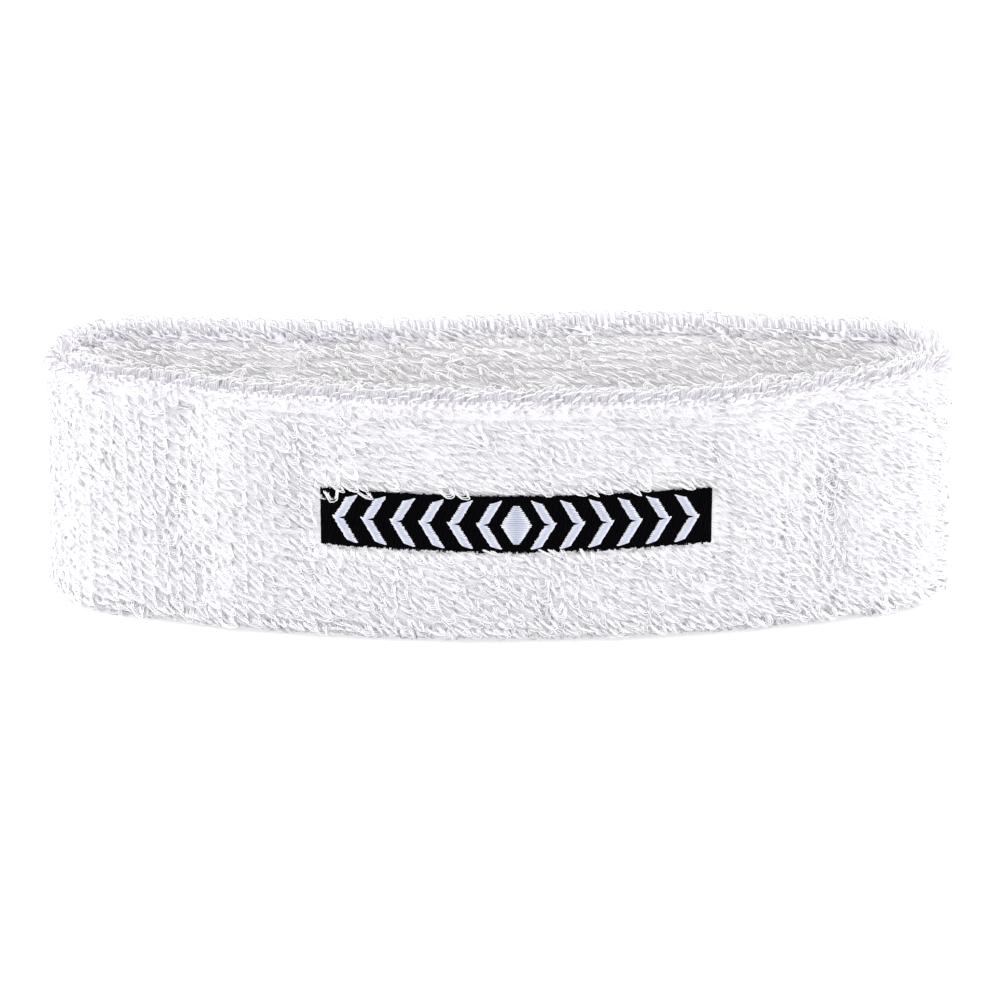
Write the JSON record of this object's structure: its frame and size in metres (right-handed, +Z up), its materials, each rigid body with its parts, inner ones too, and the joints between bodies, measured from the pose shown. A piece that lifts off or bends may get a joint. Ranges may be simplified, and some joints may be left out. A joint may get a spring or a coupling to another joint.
{
  "type": "sports headband",
  "caption": "Stretch sports headband: white terry knit folded double into a ring, rolled upper edge, and a black embroidered field with plain white chevrons on the front.",
  "frame": {"origin": "middle of the footprint, on the surface that the folded edge stands on", "axes": "+X along the band's width, +Y from the embroidered front to the back, +Z up from the folded edge to the welt"},
  "size_m": [0.175, 0.0536, 0.05],
  "materials": {
    "terry_loops": "looped cotton pile, matt",
    "ground_knit": "plain knit, matt",
    "linking_thread": "spun thread, matt",
    "covered_elastic": "rubber core covered with thread",
    "black_thread": "filled stitches, soft sheen",
    "white_satin_thread": "satin stitches, glossy",
    "backing_fleece": "non-woven, matt",
    "bobbin_thread": "fine thread, matt"
  },
  "bodies": {
    "root": {"face_pile": "terry_loops", "head_pile": "terry_loops", "fold_pile": "terry_loops", "welt_pile": "terry_loops", "face_ply": "ground_knit", "head_ply": "ground_knit", "bottom_fold": "ground_knit", "top_turn": "ground_knit", "face_hem": "ground_knit", "head_hem": "ground_knit", "linking_stitches_face": "linking_thread", "linking_stitches_head": "linking_thread", "elastic_threads": "covered_elastic", "embroidery_underlay": "black_thread", "embroidery_field": "black_thread", "embroidery_motif": "white_satin_thread", "embroidery_backing": "backing_fleece", "bobbin_stitches": "bobbin_thread"}
  },
  "joints": []
}
